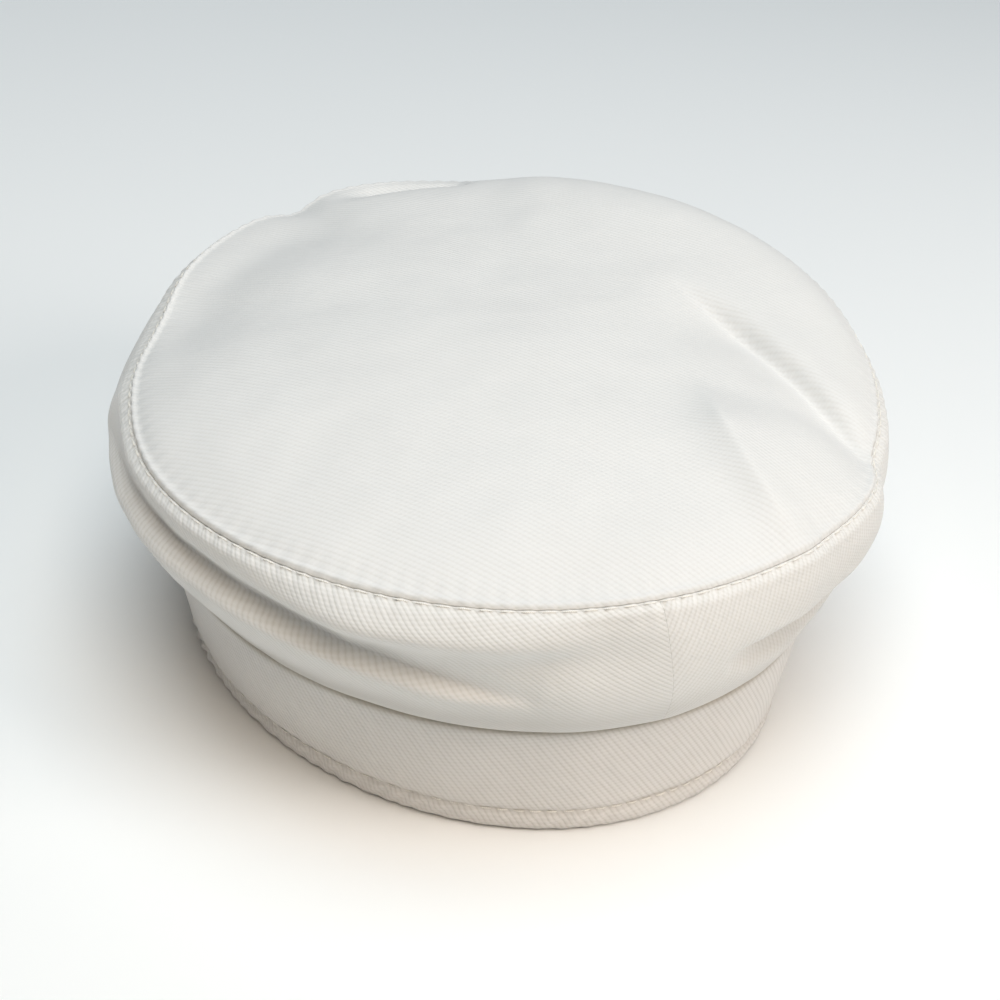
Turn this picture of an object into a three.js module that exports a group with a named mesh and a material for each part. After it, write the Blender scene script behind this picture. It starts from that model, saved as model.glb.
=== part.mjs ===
// A soft baker boy cap in cotton twill, resting on its band and peak. Millimetres, +Z up.
// The wearer faces -Y. The origin is on the floor, under the middle of the whole outline.
// The cap's own lines are drawn round an axis through the middle of the head opening, with
// bearings in degrees seen from above: 0 at the back (+Y), 90 at the wearer's left (+X).
import * as THREE from "three";

// ---- Driving sizes ----

const CLOTH = 2; // one layer of twill with its seam allowances
const BAND_CLOTH = 3; // the band is folded double over a tape
const SEAM_GAP = 0.3; // clearance where two pieces meet
const MITRE_LIMIT = 1.5; // longest mitre at a seam, in cloth thicknesses

const BAND = {
  hemHalfWidth: 84,
  hemHalfLength: 100.5,
  topHalfWidth: 93.5,
  topHalfLength: 102.5,
  height: 35.5,
  belly: 0.8, // how far the wall swells between hem and top
};

const PEAK = {
  halfAngle: 57, // bearing from the middle of the front to each corner
  length: 52,
  thickness: 3.5,
  rootLift: 14, // the front of the band stands this far off the floor
  rootRun: 14, // the lift dies out this many degrees past the corners
  rimLift: 3, // the underside of the rim bows up by this much in the middle of the front
  rimBow: 0.6, // share of the half angle over which it bows
  cornerRun: 0.75, // shape of the outline towards the corners
  leastLength: 2, // the peak's depth at its very corners
  fall: 1.25, // above 1 the peak dips faster towards its rim
};

// The crown sits turned on the band by this many degrees, so the back seam leans a little.
const CROWN_TWIST = 5;
const CROWN_CENTRE_HEIGHT = 102.5;

// The seam between top panel and side panels: its distance from the axis and its height. Puff
// is how far the top panel stands above a plain dome just inside that seam.
const CROWN_SEAM = [
  { bearing: 0, reach: 111.5, height: 81.5, puff: 5 },
  { bearing: 30, reach: 113, height: 81, puff: 4.5 },
  { bearing: 60, reach: 112, height: 80.5, puff: 3.5 },
  { bearing: 80, reach: 109.3, height: 81.5, puff: 3 },
  { bearing: 102, reach: 102.5, height: 83.5, puff: 2 },
  { bearing: 124, reach: 100.8, height: 84, puff: 1.5 },
  { bearing: 144, reach: 107.5, height: 88, puff: 1 },
  { bearing: 163, reach: 113.5, height: 91, puff: 1 },
  { bearing: 180, reach: 113, height: 95.5, puff: 3.5 },
  { bearing: 200, reach: 112.5, height: 95.5, puff: 11.3 },
  { bearing: 215, reach: 112.5, height: 97, puff: 18.8 },
  { bearing: 240, reach: 113, height: 97.5, puff: 21.2 },
  { bearing: 265, reach: 112, height: 94, puff: 16.6 },
  { bearing: 285, reach: 110, height: 88, puff: 12 },
  { bearing: 305, reach: 108, height: 84, puff: 9 },
  { bearing: 320, reach: 111, height: 82.5, puff: 7 },
  { bearing: 340, reach: 110.5, height: 81.5, puff: 6 },
];
const PUFF_EDGE = 6; // higher keeps the puff closer to the seam

// Small dents and lifts of that seam. Reach and lift are in mm, spread in degrees.
const SEAM_DENTS = [
  { bearing: 171.5, spread: 3, reach: -1.8, lift: -3 },
  { bearing: 312, spread: 5, reach: -2, lift: -1 },
  { bearing: 341, spread: 4, reach: 1.5, lift: 1 },
];
const DENT_EDGE = 8; // higher keeps a dent closer to the seam

// Folds pressed into the top panel, each a bend through three places in plan. Depth is
// negative where the cloth stands up in a ridge. Left and right are its breadths on either side,
// seen from its start. Roundness 2 is a soft trough and 1 a pressed crease.
const TOP_FOLDS = [
  { start: [-58, -12], middle: [-71.5, 28], end: [-78, 80], depth: 6, left: 2.8, right: 18, roundness: 1.3 },
  { start: [-42, 30], middle: [-31, 66], end: [-33, 106], depth: -5.5, left: 26, right: 7, roundness: 1.2 },
  { start: [26, -98], middle: [2, -104], end: [-26, -103], depth: 4, left: 4.5, right: 4.5, roundness: 2 },
  { start: [90, 0], middle: [75, -54], end: [32, -84], depth: 2, left: 14, right: 14, roundness: 2 },
];
const FOLD_FADE_IN = 0.45; // share of a top fold's length over which it grows
const FOLD_EDGE = 14; // higher carries the folds closer to the seam
const FOLD_STEPS = 40; // places tried when looking for the nearest part of a fold

// How far the side panels stand outside a straight line from band to crown seam, and at which
// share of their height they stand out most.
const SIDE_FULLNESS = [
  { bearing: 0, out: 7.5, peakShare: 0.5 },
  { bearing: 40, out: 8.5, peakShare: 0.54 },
  { bearing: 80, out: 9.5, peakShare: 0.64 },
  { bearing: 120, out: 9.6, peakShare: 0.66 },
  { bearing: 150, out: 6.5, peakShare: 0.72 },
  { bearing: 190, out: 8, peakShare: 0.6 },
  { bearing: 250, out: 7, peakShare: 0.6 },
  { bearing: 300, out: 7.4, peakShare: 0.7 },
  { bearing: 330, out: 6.4, peakShare: 0.62 },
];
const SIDE_ROUNDNESS = 0.75; // below 1 gives a fuller section

// Lengthwise folds in the side panels. The shares are heights on the panel at the fold's start,
// middle and end, and above and below are its breadths, as shares too.
const SIDE_FOLDS = [
  { from: 20, to: 104, shares: [0.36, 0.65, 0.8], depth: 7.5, above: 0.12, below: 0.06 },
  { from: 320, to: 358, shares: [0.56, 0.54, 0.58], depth: 8.5, above: 0.1, below: 0.04 },
];
const SIDE_FOLD_EDGE = 0.1; // the folds fade out over this share below the crown seam

// ---- Mesh density ----

const COLUMNS = 72; // facets once round the cap
const TOP_ROWS = 14;
const SIDE_ROWS = 16;
const BAND_ROWS = 4;
const PEAK_COLUMNS = 28;
const PEAK_ROWS = 7;

// ---- Helpers ----

const FULL_TURN = 360;
const radians = THREE.MathUtils.degToRad;
const { clamp, lerp, smoothstep } = THREE.MathUtils;

function place(bearing, reach, height) {
  const a = radians(bearing);
  return new THREE.Vector3(reach * Math.sin(a), reach * Math.cos(a), height);
}

// Shortest turn from one bearing to another, from -180 to 180.
function turn(from, to) {
  const half = FULL_TURN / 2;
  return THREE.MathUtils.euclideanModulo(to - from + half, FULL_TURN) - half;
}

function ovalReach(bearing, halfWidth, halfLength) {
  const a = radians(bearing);
  return 1 / Math.hypot(Math.sin(a) / halfWidth, Math.cos(a) / halfLength);
}

// A smooth closed curve through a column of a table whose rows are sorted by bearing.
function roundTable(rows, column, bearing) {
  const n = rows.length;
  const row = (i) => rows[(i + n) % n];
  const bearingOf = (i) => row(i).bearing + Math.floor(i / n) * FULL_TURN;
  const at = THREE.MathUtils.euclideanModulo(bearing, FULL_TURN);
  let i = n - 1;
  while (i > 0 && rows[i].bearing > at) i -= 1;
  const slope = (j) =>
    (row(j + 1)[column] - row(j - 1)[column]) / (bearingOf(j + 1) - bearingOf(j - 1));
  const span = bearingOf(i + 1) - bearingOf(i);
  const t = (at - bearingOf(i)) / span;
  return (
    row(i)[column] * (1 + 2 * t) * (1 - t) ** 2 +
    row(i + 1)[column] * t * t * (3 - 2 * t) +
    span * t * (1 - t) * (slope(i) * (1 - t) - slope(i + 1) * t)
  );
}

const bell = (distance, breadth) => Math.exp(-((distance / breadth) ** 2));

// Rises from 0 at both ends of a stretch to 1 in the middle.
const swell = (t) => (t <= 0 || t >= 1 ? 0 : Math.sin(Math.PI * t) ** 0.8);

// The bend through three values, at a share t of the way.
function bend([start, middle, end], t) {
  const handle = 2 * middle - (start + end) / 2;
  return (1 - t) ** 2 * start + 2 * t * (1 - t) * handle + t * t * end;
}

// The bend through a fold's three places, as points.
function foldLine({ start, middle, end }) {
  return Array.from({ length: FOLD_STEPS + 1 }, (_, i) => {
    const [x, y] = [0, 1].map((k) => bend([start[k], middle[k], end[k]], i / FOLD_STEPS));
    return new THREE.Vector2(x, y);
  });
}

const topFolds = TOP_FOLDS.map((fold) => ({ ...fold, line: foldLine(fold) }));

// ---- The cap's lines ----

// How far the front of the band is held off the floor by the peak.
function frontLift(bearing) {
  const off = Math.abs(turn(180, bearing)) / (PEAK.halfAngle + PEAK.rootRun);
  return off >= 1 ? 0 : PEAK.rootLift * Math.cos((Math.PI / 2) * off) ** 2;
}

function bandPoint(bearing, share) {
  const hem = ovalReach(bearing, BAND.hemHalfWidth, BAND.hemHalfLength);
  const top = ovalReach(bearing, BAND.topHalfWidth, BAND.topHalfLength);
  const reach = lerp(hem, top, share) + BAND.belly * Math.sin(Math.PI * share);
  return place(bearing, reach, frontLift(bearing) + BAND.height * share);
}

// How far the seam's dents move it outwards and upwards.
function seamDent(bearing) {
  const moved = { reach: 0, lift: 0 };
  for (const dent of SEAM_DENTS) {
    const share = bell(turn(dent.bearing, bearing), dent.spread);
    moved.reach += dent.reach * share;
    moved.lift += dent.lift * share;
  }
  return moved;
}

// share runs from 0 at the middle of the crown to 1 at its seam.
function topPoint(bearing, share) {
  const dent = seamDent(bearing);
  const nearSeam = share ** DENT_EDGE;
  const reach = roundTable(CROWN_SEAM, "reach", bearing) * share + dent.reach * nearSeam;
  const seamHeight = roundTable(CROWN_SEAM, "height", bearing);
  const puff = roundTable(CROWN_SEAM, "puff", bearing) * share ** 3 * (1 - share ** PUFF_EDGE);
  const dome = lerp(CROWN_CENTRE_HEIGHT, seamHeight, share ** 2);
  const point = place(bearing, reach, dome + puff + dent.lift * nearSeam);
  for (const { line, depth, left, right, roundness } of topFolds) {
    const away = line.map((p) => Math.hypot(point.x - p.x, point.y - p.y));
    const nearest = Math.min(...away);
    const at = away.indexOf(nearest);
    const ahead = line[Math.min(at + 1, FOLD_STEPS)].clone().sub(line[Math.max(at - 1, 0)]);
    const onLeft = ahead.x * (point.y - line[at].y) > ahead.y * (point.x - line[at].x);
    const section = Math.exp(-((nearest / (onLeft ? left : right)) ** roundness));
    const fade = smoothstep(at / FOLD_STEPS, 0, FOLD_FADE_IN) * (1 - share ** FOLD_EDGE);
    point.z -= depth * section * fade;
  }
  return point;
}

// share runs from 0 at the band to 1 at the crown seam.
function sidePoint(bearing, share) {
  const foot = bandPoint(bearing, 1);
  const seam = topPoint(bearing, 1);
  const peakShare = roundTable(SIDE_FULLNESS, "peakShare", bearing);
  const lean = Math.log(0.5) / Math.log(peakShare);
  const section = Math.sin(Math.PI * clamp(share, 0, 1) ** lean) ** SIDE_ROUNDNESS;
  let out = roundTable(SIDE_FULLNESS, "out", bearing) * section;
  for (const fold of SIDE_FOLDS) {
    const along = clamp(turn(fold.from, bearing) / turn(fold.from, fold.to), 0, 1);
    const off = share - bend(fold.shares, along);
    const section = bell(off, off > 0 ? fold.above : fold.below);
    out -= fold.depth * section * swell(along) * smoothstep(1 - share, 0, SIDE_FOLD_EDGE);
  }
  const reach = lerp(Math.hypot(foot.x, foot.y), Math.hypot(seam.x, seam.y), share) + out;
  return place(bearing, reach, lerp(foot.z + SEAM_GAP, seam.z, share));
}

// across runs from -1 to 1 between the corners, and share from 0 at the band to 1 at the rim.
function peakPoint(across, share) {
  const bearing = 180 + PEAK.halfAngle * across;
  const outline = Math.cos((Math.PI / 2) * Math.min(1, Math.abs(across))) ** PEAK.cornerRun;
  const length = Math.max(PEAK.leastLength, PEAK.length * outline);
  const root = bandPoint(bearing, PEAK.thickness / BAND.height);
  const rootReach = Math.hypot(root.x, root.y) + SEAM_GAP;
  const bow = Math.min(1, Math.abs(across) / PEAK.rimBow);
  const rimHeight = PEAK.rimLift * Math.cos((Math.PI / 2) * bow) ** 2;
  const height = lerp(frontLift(bearing), rimHeight, share ** PEAK.fall);
  return place(bearing, rootReach + length * share, height);
}

// ---- Solids ----

// The outward direction of a panel whose point(bearing, up) runs up the cloth.
function outward(point, bearing, up) {
  const step = 0.004;
  const alongUp = point(bearing, up + step).sub(point(bearing, up - step));
  const round = point(bearing + 1, up).sub(point(bearing - 1, up));
  return alongUp.cross(round).normalize();
}

const topUp = (bearing, up) => topPoint(bearing, 1 - up);

// The way from the crown seam into the corner between the two panels, one cloth thick.
function seamMitre(bearing) {
  const edge = 0.02;
  const side = outward(sidePoint, bearing, 1 - edge);
  const top = outward(topUp, bearing, edge);
  const middle = side.clone().add(top).normalize();
  const length = Math.min(MITRE_LIMIT, 1 / middle.dot(side));
  return middle.multiplyScalar(-CLOTH * length);
}

// Closes a grid of outer points and a matching grid of inner points into one solid. Rows run
// up the cloth and columns run round it with the bearing. A pole holds the two points, outer
// and inner, on which the last rows close.
function clothSolid(outer, inner, { closedRound = false, pole = null } = {}) {
  const rows = outer.length;
  const columns = outer[0].length;
  const points = [...outer.flat(), ...inner.flat(), ...(pole ?? [])];
  const index = [];
  const at = (side, row, column) => side * rows * columns + row * columns + (column % columns);
  const quad = (a, b, c, d) => index.push(a, b, c, a, c, d);
  const spans = closedRound ? columns : columns - 1;
  const last = rows - 1;
  for (let column = 0; column < spans; column += 1) {
    const next = column + 1;
    for (let row = 0; row < last; row += 1) {
      quad(at(0, row, column), at(0, row + 1, column), at(0, row + 1, next), at(0, row, next));
      quad(at(1, row, next), at(1, row + 1, next), at(1, row + 1, column), at(1, row, column));
    }
    quad(at(1, 0, column), at(0, 0, column), at(0, 0, next), at(1, 0, next));
    if (pole) {
      const [outerTip, innerTip] = [points.length - 2, points.length - 1];
      index.push(at(0, last, column), outerTip, at(0, last, next));
      index.push(at(1, last, next), innerTip, at(1, last, column));
    } else {
      quad(at(0, last, column), at(1, last, column), at(1, last, next), at(0, last, next));
    }
  }
  if (!closedRound) {
    const end = columns - 1;
    for (let row = 0; row < last; row += 1) {
      quad(at(1, row, 0), at(1, row + 1, 0), at(0, row + 1, 0), at(0, row, 0));
      quad(at(0, row, end), at(0, row + 1, end), at(1, row + 1, end), at(1, row, end));
    }
  }
  const geometry = new THREE.BufferGeometry();
  const positions = points.flatMap((point) => point.toArray());
  geometry.setAttribute("position", new THREE.Float32BufferAttribute(positions, 3));
  geometry.setIndex(index);
  geometry.computeVertexNormals();
  return geometry;
}

const steps = (count, from, to) =>
  Array.from({ length: count + 1 }, (_, i) => lerp(from, to, i / count));
const grid = (rows, columns, point) => rows.map((row) => columns.map((column) => point(column, row)));
const onceRound = () => steps(COLUMNS, 0, FULL_TURN).slice(0, COLUMNS);

// ---- Pieces ----

function bandGeometry() {
  const bearings = onceRound();
  const outer = grid(steps(BAND_ROWS, 0, 1), bearings, bandPoint);
  const inner = outer.map((row) =>
    row.map((point, i) => point.clone().sub(place(bearings[i], BAND_CLOTH, 0))),
  );
  return clothSolid(outer, inner, { closedRound: true });
}

// One half of the crown's side, between two bearings at the band. It turns with the crown.
function sidePanelGeometry(from, to) {
  const bearings = steps(COLUMNS / 2, from, to);
  const slit = THREE.MathUtils.radToDeg(SEAM_GAP / 2 / BAND.topHalfLength);
  bearings[0] += slit;
  bearings[bearings.length - 1] -= slit;
  const shares = steps(SIDE_ROWS, 0, 1);
  const turned = (point) => (bearing, share) => point(bearing + CROWN_TWIST * share, share);
  const outer = grid(shares, bearings, turned(sidePoint));
  const innerPoint = (bearing, share) => {
    const point = sidePoint(bearing, share);
    if (share === 0) return point.sub(place(bearing, CLOTH, 0));
    if (share === 1) return point.add(seamMitre(bearing));
    return point.addScaledVector(outward(sidePoint, bearing, share), -CLOTH);
  };
  const inner = grid(shares, bearings, turned(innerPoint));
  const top = SIDE_ROWS;
  bearings.forEach((bearing, column) => {
    const down = outer[top - 1][column].clone().sub(outer[top][column]).setLength(SEAM_GAP);
    outer[top][column].add(down);
    inner[top][column].add(down);
  });
  return clothSolid(outer, inner);
}

function topPanelGeometry() {
  const bearings = onceRound().map((bearing) => bearing + CROWN_TWIST);
  const rows = steps(TOP_ROWS, 0, 1).slice(0, TOP_ROWS);
  const outer = grid(rows, bearings, topUp);
  const inner = grid(rows, bearings, (bearing, up) => {
    const point = topUp(bearing, up);
    if (up === 0) return point.add(seamMitre(bearing));
    return point.addScaledVector(outward(topUp, bearing, up), -CLOTH);
  });
  const middle = topPoint(0, 0);
  const pole = [middle, middle.clone().setZ(middle.z - CLOTH)];
  return clothSolid(outer, inner, { closedRound: true, pole });
}

function peakGeometry() {
  const acrosses = steps(PEAK_COLUMNS, -1, 1);
  const under = grid(steps(PEAK_ROWS, 1, 0), acrosses, peakPoint);
  const upper = under.map((row) => row.map((p) => p.clone().setZ(p.z + PEAK.thickness)));
  return clothSolid(upper, under);
}

// ---- Materials ----

const twill = (color) => new THREE.MeshStandardMaterial({ color, roughness: 0.9, metalness: 0 });
const crownTwill = twill(0xe9e8e2);
const bandTwill = twill(0xe4e0d8);

function piece(name, geometry, material) {
  const mesh = new THREE.Mesh(geometry, material);
  mesh.name = name;
  return mesh;
}

const cap = new THREE.Group();
cap.name = "baker_boy_cap";
cap.add(
  piece("top_panel", topPanelGeometry(), crownTwill),
  piece("side_panel_left", sidePanelGeometry(0, 180), crownTwill),
  piece("side_panel_right", sidePanelGeometry(180, FULL_TURN), crownTwill),
  piece("band", bandGeometry(), bandTwill),
  piece("peak", peakGeometry(), bandTwill),
);

// The lines above stand round the head opening, so the whole cap moves over the origin.
const outlineMiddle = new THREE.Box3().setFromObject(cap).getCenter(new THREE.Vector3());
cap.position.set(-outlineMiddle.x, -outlineMiddle.y, 0);

export default cap;
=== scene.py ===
# A soft ivory baker boy cap in cotton twill, resting on its hem and peak.
#
# The cap's lines are drawn in millimetres round an axis through the middle of the head opening,
# with bearings in degrees seen from above: 0 at the back (+Y), 90 at the wearer's left (+X).
import math
from collections import namedtuple

import bpy
from mathutils import Matrix, Vector, noise


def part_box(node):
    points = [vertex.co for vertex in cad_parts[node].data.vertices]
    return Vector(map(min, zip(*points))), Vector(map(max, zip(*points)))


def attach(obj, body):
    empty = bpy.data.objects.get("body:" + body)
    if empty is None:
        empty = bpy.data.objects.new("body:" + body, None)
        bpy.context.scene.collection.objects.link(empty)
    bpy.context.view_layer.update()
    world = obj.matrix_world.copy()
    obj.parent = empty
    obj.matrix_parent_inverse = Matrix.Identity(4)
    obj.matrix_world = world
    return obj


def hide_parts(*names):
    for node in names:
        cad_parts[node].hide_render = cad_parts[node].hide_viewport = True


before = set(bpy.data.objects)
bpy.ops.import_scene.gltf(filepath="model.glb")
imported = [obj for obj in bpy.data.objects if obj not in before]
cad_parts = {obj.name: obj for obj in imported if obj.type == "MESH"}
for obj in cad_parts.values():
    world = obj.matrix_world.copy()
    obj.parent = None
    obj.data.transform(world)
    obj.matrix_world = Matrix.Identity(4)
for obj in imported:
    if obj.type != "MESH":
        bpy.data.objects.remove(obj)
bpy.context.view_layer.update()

bpy.ops.object.select_all(action="DESELECT")

MM = 0.001
UP = Vector((0, 0, 1))
FULL_TURN = 360
FRONT = 180  # the bearing of the peak's middle

band_low, band_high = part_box("band")
HEAD = Vector(((band_low[0] + band_high[0]) / 2, (band_low[1] + band_high[1]) / 2, 0))

# ---- Camera ----

VIEW_TURN = 27.8  # degrees from straight behind the wearer towards their left
VIEW_HEIGHT = 34.9  # degrees above the floor
VIEW_ROLL = 5.15  # degrees
VIEW_DISTANCE = 0.6  # metres
VIEW_RIGHT = 0.011  # how far right and up of the head opening it looks, as slopes
VIEW_UP = 0.0594
LENS = 70


def add_camera():
    turn, height, roll = (math.radians(a) for a in (VIEW_TURN, VIEW_HEIGHT, VIEW_ROLL))
    back = Vector((
        math.sin(turn) * math.cos(height),
        math.cos(turn) * math.cos(height),
        math.sin(height),
    ))
    level = UP.cross(back).normalized()
    rise = back.cross(level)
    right = math.cos(roll) * level + math.sin(roll) * rise
    top = math.cos(roll) * rise - math.sin(roll) * level
    aimed = (back - VIEW_RIGHT * right - VIEW_UP * top).normalized()
    right = top.cross(aimed).normalized()
    top = aimed.cross(right)
    turned = Matrix((right, top, aimed)).transposed().to_euler()
    bpy.ops.object.camera_add(location=HEAD + VIEW_DISTANCE * back, rotation=turned)
    camera = bpy.context.object
    camera.name = "camera"
    camera.data.lens = LENS
    bpy.context.scene.camera = camera


add_camera()

# ---- The cap's sizes, in millimetres ----

HEM_HALF_WIDTH = 84
HEM_HALF_LENGTH = 100.5
BAND_TOP_HALF_WIDTH = 93.5
BAND_TOP_HALF_LENGTH = 102.5
BAND_HEIGHT = 35.5
BAND_BELLY = 0.8
BAND_CLOTH = 2.8  # folded double over a tape
CLOTH = 1.1  # one layer of twill
SEAM_GAP = 0.3
CROWN_TWIST = 5  # degrees that the crown sits turned on the band
CROWN_CENTRE_HEIGHT = 102.5

PEAK_HALF_ANGLE = 57  # degrees from its middle to each end
PEAK_LENGTH = 52
PEAK_THICKNESS = 3.3
PEAK_ROOT_LIFT = 14  # how far it holds the front of the band off the floor
PEAK_ROOT_RUN = 14  # degrees past its ends where the band is down on the floor
PEAK_RIM_LIFT = 3
PEAK_RIM_BOW = 0.6  # the share of its rim that is lifted
PEAK_CORNER_RUN = 0.75  # the smaller, the fuller its corners
PEAK_LEAST_LENGTH = 2
PEAK_FALL = 1.25  # above 1 it leaves the band level and falls towards its rim

# The seam between top panel and side panels: its distance from the axis and its height. Puff
# is how far the top panel stands above a plain dome just inside that seam.
SeamRow = namedtuple("SeamRow", "bearing reach height puff")
CROWN_SEAM = [
    SeamRow(0, 111.5, 81.5, 5),
    SeamRow(30, 113, 81, 4.5),
    SeamRow(60, 112, 80.5, 4.5),
    SeamRow(80, 110, 81.5, 5.5),
    SeamRow(102, 104, 83.5, 4.5),
    SeamRow(124, 100.8, 84, 2.5),
    SeamRow(144, 107.5, 88, 1),
    SeamRow(163, 113.5, 90.6, 1),
    SeamRow(180, 113, 95.5, 3.5),
    SeamRow(200, 112.5, 95.5, 11.3),
    SeamRow(215, 112.5, 97, 18.8),
    SeamRow(240, 113, 97.5, 21.2),
    SeamRow(265, 112, 94, 16.6),
    SeamRow(285, 110, 88, 12),
    SeamRow(305, 108, 84, 9),
    SeamRow(320, 111, 82.5, 7),
    SeamRow(340, 110.5, 81.5, 6),
]
# How steeply puff and folds end at the seam, and how close to it dents stay: powers of the
# share of the way out to it.
PUFF_EDGE = 6
DENT_EDGE = 8
FOLD_EDGE = 14

# Small dents and lifts of the crown seam; their spread is in degrees.
Dent = namedtuple("Dent", "bearing spread reach lift")
SEAM_DENTS = [
    Dent(168.5, 4, -1.8, -2.8),
    Dent(312, 5, -2, -1),
    Dent(341, 4, 1.5, 1),
]

# Folds pressed into the top panel, each a bend through three places in plan. Depth is negative
# where the cloth stands up in a ridge. Left and right are its breadths on either side, seen from
# its start. Roundness 2 is a soft trough and 1 a pressed crease.
TopFold = namedtuple("TopFold", "start middle end depth left right roundness")
TOP_FOLDS = [
    TopFold((-56, -13), (-70, 27), (-77, 80), 6, 2.8, 15, 1.3),
    TopFold((-41, 40), (-31.5, 72), (-33, 107), -5.4, 24, 7, 1.2),
    TopFold((14, -103), (-7, -104.5), (-29, -100.5), 4, 4.5, 4.5, 2),
    TopFold((90, 0), (75, -54), (32, -84), 2, 14, 14, 2),
]
FOLD_FADE_IN = 0.45  # the share of its length over which a fold grows to its depth
FOLD_STEPS = 40
FOLD_REACH = 3  # past this many breadths a fold is no longer felt

# How far the side panels stand outside a straight line from band to crown seam, and at which
# share of their height they stand out most.
Fullness = namedtuple("Fullness", "bearing out peak_share")
SIDE_FULLNESS = [
    Fullness(0, 8, 0.46),
    Fullness(40, 9.5, 0.5),
    Fullness(80, 9.5, 0.64),
    Fullness(120, 9.6, 0.66),
    Fullness(150, 6.5, 0.72),
    Fullness(190, 8, 0.6),
    Fullness(250, 7, 0.6),
    Fullness(300, 7.4, 0.7),
    Fullness(330, 6.4, 0.62),
]
SIDE_ROUNDNESS = 0.75

# Lengthwise folds in the side panels. The shares are heights on the panel at the fold's start,
# middle and end, and the breadths are the fold's reach above and below its line.
SideFold = namedtuple("SideFold", "start end start_share middle_share end_share depth above below")
SIDE_FOLDS = [
    SideFold(19, 104, 0.4, 0.655, 0.77, 8, 0.16, 0.042),
    SideFold(319, 354, 0.5, 0.48, 0.5, 8.5, 0.055, 0.11),
    SideFold(12, 58, 0.81, 0.81, 0.85, -3.8, 0.12, 0.1),
    SideFold(2, 44, 0.66, 0.68, 0.7, 3.2, 0.16, 0.2),
]
SIDE_FOLD_EDGE = 0.1  # the share of the height below the crown seam where a fold fades
SIDE_FOLD_ROUNDNESS = 0.8

# ---- Seams and stitches, in millimetres ----

SEAM_SLIT = 0.02  # half the slit left between two panels
ALLOWANCE = (-6, -3.5, -1.6, -0.6)  # the turned-in edge, beyond the seam
CROWN_STITCHES = 140
CROWN_STITCH_LENGTH = 3.6
CROWN_STITCH_DROP = 0.55  # it lies this far below the seam line
CROWN_STITCH_SINK = 0.3
HEM_STITCHES = 142
HEM_STITCH_LENGTH = 3.1
HEM_STITCH_SINK = 0.35
HEM_STITCH_HEIGHT = 7.2
PEAK_STITCH_INSET = 5.5
PEAK_STITCH_PITCH = 4.2
PEAK_STITCH_LENGTH = 3.2
PEAK_STITCH_SINK = 0.3
THREAD = 0.42
THREAD_ARCH = 0.22  # how far a stitch's middle stands above its ends
TWILL_PITCH = 1.35  # from one rib of the twill to the next
FLOAT_LENGTH = 1.25  # one yarn's visible run along a rib

# The cloth rounds down into a seam: over which width, and how deep.
Roll = namedtuple("Roll", "width depth")
CROWN_ROLL = Roll(1.3, 0.3)
BAND_ROLL = Roll(5, 2.8)  # the side panels hang a little over the band
STRIP_ROLL = Roll(1.3, 1.0)  # the band's own upper edge
PLAIN_ROLL = Roll(0.2, 0.03)  # the seams behind and in front, between the side panels

# Something that is most at one distance from a seam, or at one height on the band, and fades
# over a breadth on both sides of it: a swelling of the cloth, or a share of painted shade in a seam.
Spread = namedtuple("Spread", "most at breadth")
TOP_WELT = Spread(0.5, 0.95, 0.65)  # the turned-in edges lift the top panel here
TOP_BITE = Spread(0.45, 0.3, 0.9)  # each stitch pulls the cloth in
TOP_PUCKER = Spread(0.22, 3, 3)  # and it swells between two stitches
# painted shade in the crown seam, on the top panel
TOP_SEAM_PAINTED_SHADE = Spread(0.35, 0, 0.6)
TOP_PAINTED_SHADE_BETWEEN = 0.5  # the share of the painted shade that is left between two stitches
SIDE_CROWN_EDGE = Spread(0.3, 3.2, 1.6)  # the ends of the turned-in edges show through
SIDE_BAND_EDGE = Spread(0.25, 3, 1.8)
SIDE_BITE = Spread(0.8, 0.9, 1.3)
SIDE_PUCKER = Spread(0.3, 3.4, 3)
# painted shade in the crown seam, on the side panels
SIDE_CROWN_PAINTED_SHADE = Spread(0.28, 0, 0.7)
SIDE_PAINTED_SHADE_BETWEEN = 0.4
# painted shade in the band seam, on the side panels under their overhang
SIDE_BAND_PAINTED_SHADE = Spread(0.8, 0, 0.8)
SIDE_LOW_PAINTED_SHADE = Spread(1, 9, 10)  # painted shade low on the side panels, above the band seam
BAND_EDGE = Spread(0.25, 10, 2)
# painted shade along the band's upper edge, under the side panels
BAND_SEAM_PAINTED_SHADE = Spread(0.85, 0, 1.5)
HEM_ROLL_HEIGHT = 0.8  # how far the hem strip stands out
HEM_GROOVE = Spread(0.55, HEM_STITCH_HEIGHT, 0.95)
HEM_GROOVE_BETWEEN = 0.6
# painted shade in the groove of the hem stitches
HEM_GROOVE_PAINTED_SHADE = 0.25
HEM_GROOVE_INSIDE = Spread(0.25, HEM_STITCH_HEIGHT, 1.2)
HEM_PUCKER = Spread(0.6, 4.5, 3.2)
HEM_PUCKER_PITCH = 4  # degrees
HEM_PUCKER_LEAN = 8  # over this height a pucker leans by its pitch
PEAK_GROOVE = Spread(0.45, 0, 0.9)
PEAK_GROOVE_REACH = 4
# painted shade in the groove of the peak's stitches
PEAK_GROOVE_PAINTED_SHADE = 0.8
PEAK_ROOT_EDGE = Spread(0.8, 0, 1.5)  # its cloth turns down where it meets the band

# The same round the cap, by bearing and in degrees.
WELT_RISE = Spread(1.1, 112, 50)  # the welt stands higher at the wearer's left
SEAM_PRESSED = Spread(0.8, 337, 22)  # the crown seam is pressed flat and its painted shade hardly shows
LOW_PAINTED_SHADE_ROUND = Spread(0.6, 75, 45)  # the painted shade low on the side panels is darkest here, towards the wearer's left
LOW_PAINTED_SHADE_ELSEWHERE = 0.35

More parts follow.
